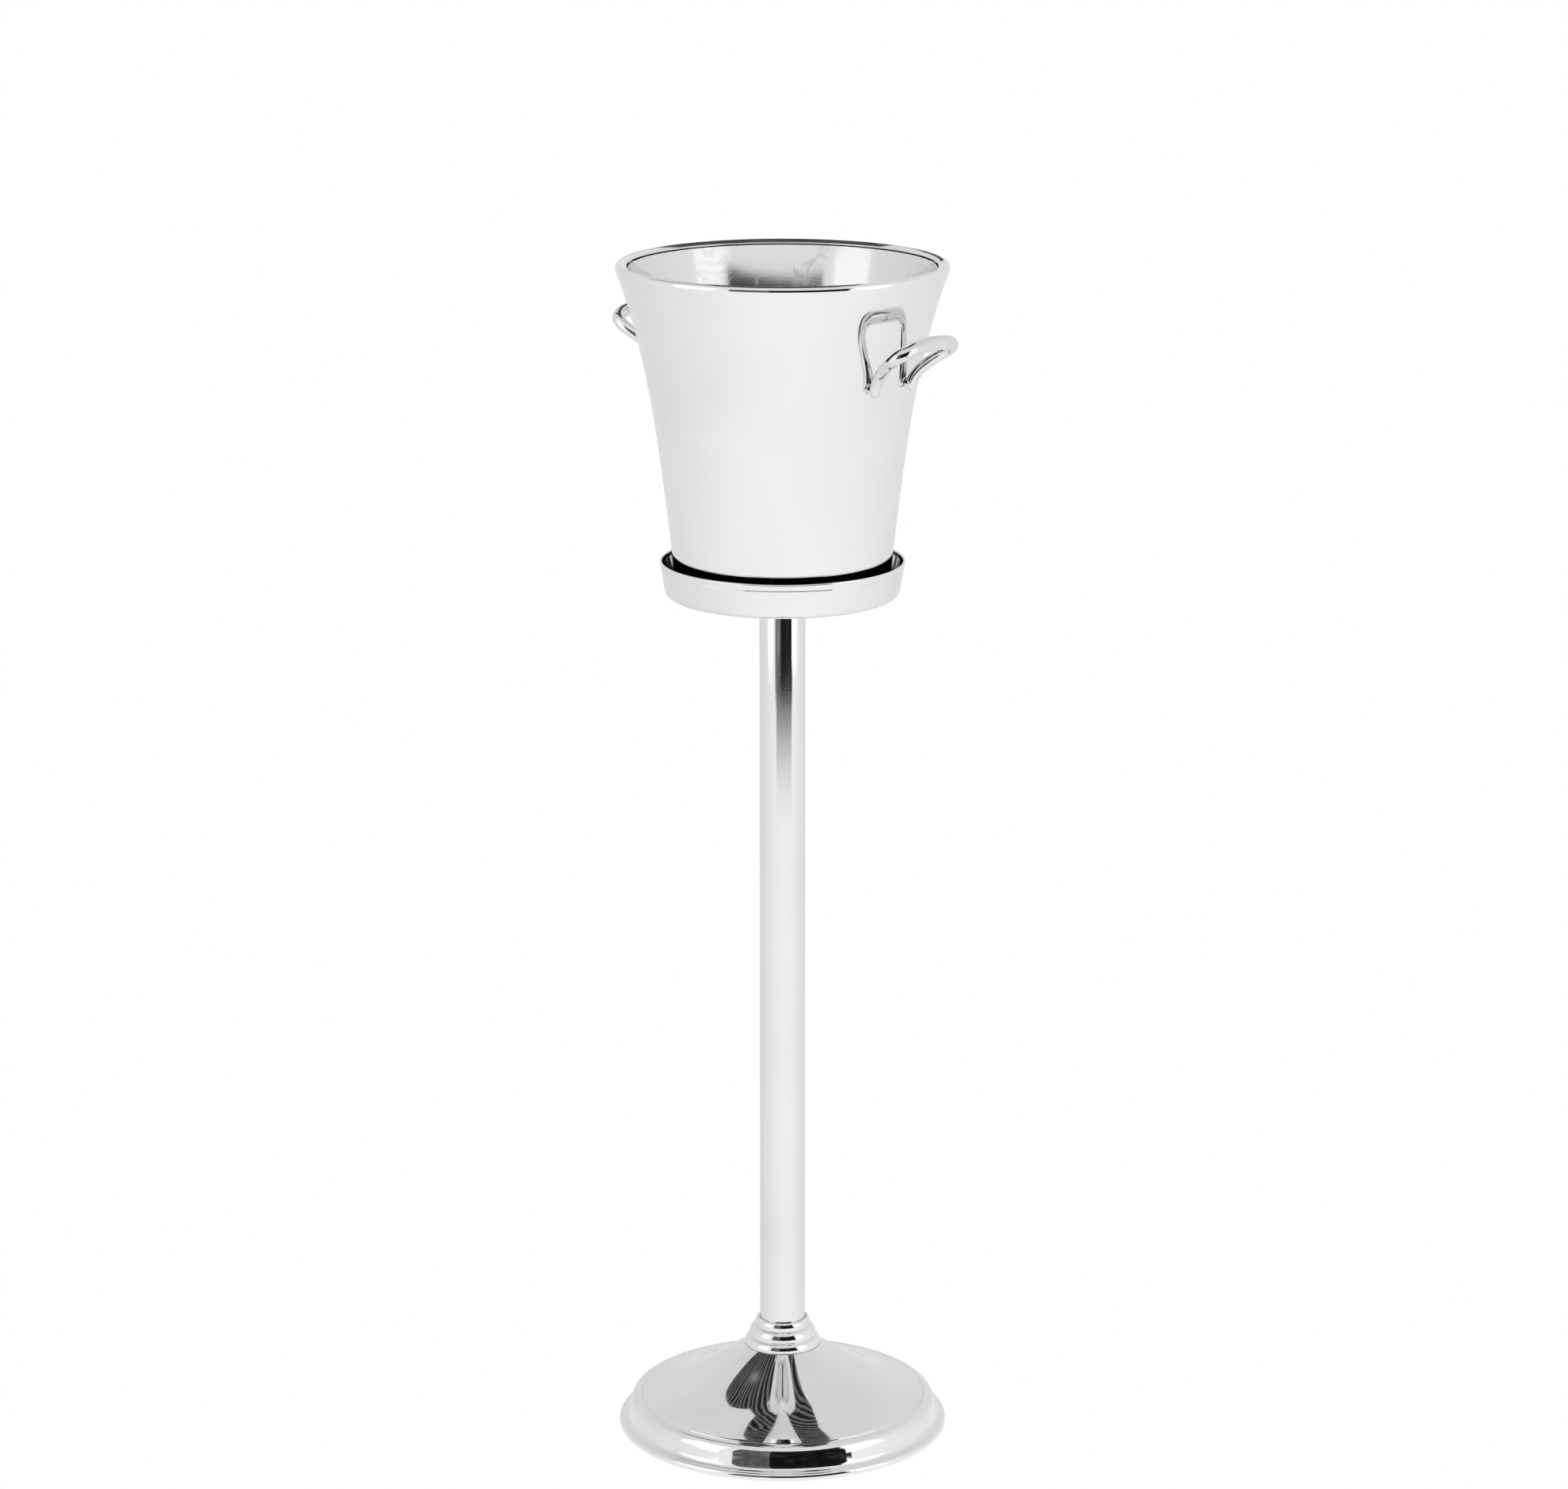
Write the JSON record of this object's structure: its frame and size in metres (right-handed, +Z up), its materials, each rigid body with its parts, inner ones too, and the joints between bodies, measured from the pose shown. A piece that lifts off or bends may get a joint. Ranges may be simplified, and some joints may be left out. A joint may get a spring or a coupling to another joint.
{
  "type": "champagne bucket stand",
  "caption": "Polished metal champagne bucket with two loop handles, resting in a shallow tray on a tube stem with a ringed collar and a weighted domed foot.",
  "frame": {"origin": "on the stem's axis, at the floor under the foot", "axes": "+Z up the stem; +X towards the right handle; +Y towards the back of the bucket"},
  "size_m": [0.2882, 0.255, 0.9134],
  "materials": {
    "polished_steel": "mirror-polished nickel-plated sheet and castings, with faint wipe marks",
    "liner_steel": "bright spun stainless steel",
    "cast_iron": "rough black-painted casting",
    "zinc_steel": "dull zinc-plated steel",
    "black_felt": "black felt",
    "black_rubber": "matt black rubber"
  },
  "bodies": {
    "stand": {"floor_felt": "black_felt", "foot_cover": "zinc_steel", "foot_shell": "polished_steel", "foot_ballast": "cast_iron", "foot_washer": "zinc_steel", "foot_nut": "zinc_steel", "tie_rod": "zinc_steel", "stem_collar": "polished_steel", "lower_stem_plug": "zinc_steel", "stem_tube": "polished_steel", "upper_stem_plug": "zinc_steel", "tray_dish": "polished_steel", "tray_pad": "black_rubber", "tray_washer": "zinc_steel", "tray_nut": "zinc_steel"},
    "bucket": {"bucket_shell": "polished_steel", "bucket_floor_cup": "polished_steel", "bucket_liner": "liner_steel", "handle_right": "polished_steel", "handle_right_front_screw": "zinc_steel", "handle_right_front_washer": "zinc_steel", "handle_right_back_screw": "zinc_steel", "handle_right_back_washer": "zinc_steel", "handle_left": "polished_steel", "handle_left_front_screw": "zinc_steel", "handle_left_front_washer": "zinc_steel", "handle_left_back_screw": "zinc_steel", "handle_left_back_washer": "zinc_steel"}
  },
  "joints": [
    {"name": "bucket_lift", "type": "slide", "parent": "stand", "child": "bucket", "axis": [0, 0, 1], "range_m": [0, 0.1]}
  ]
}
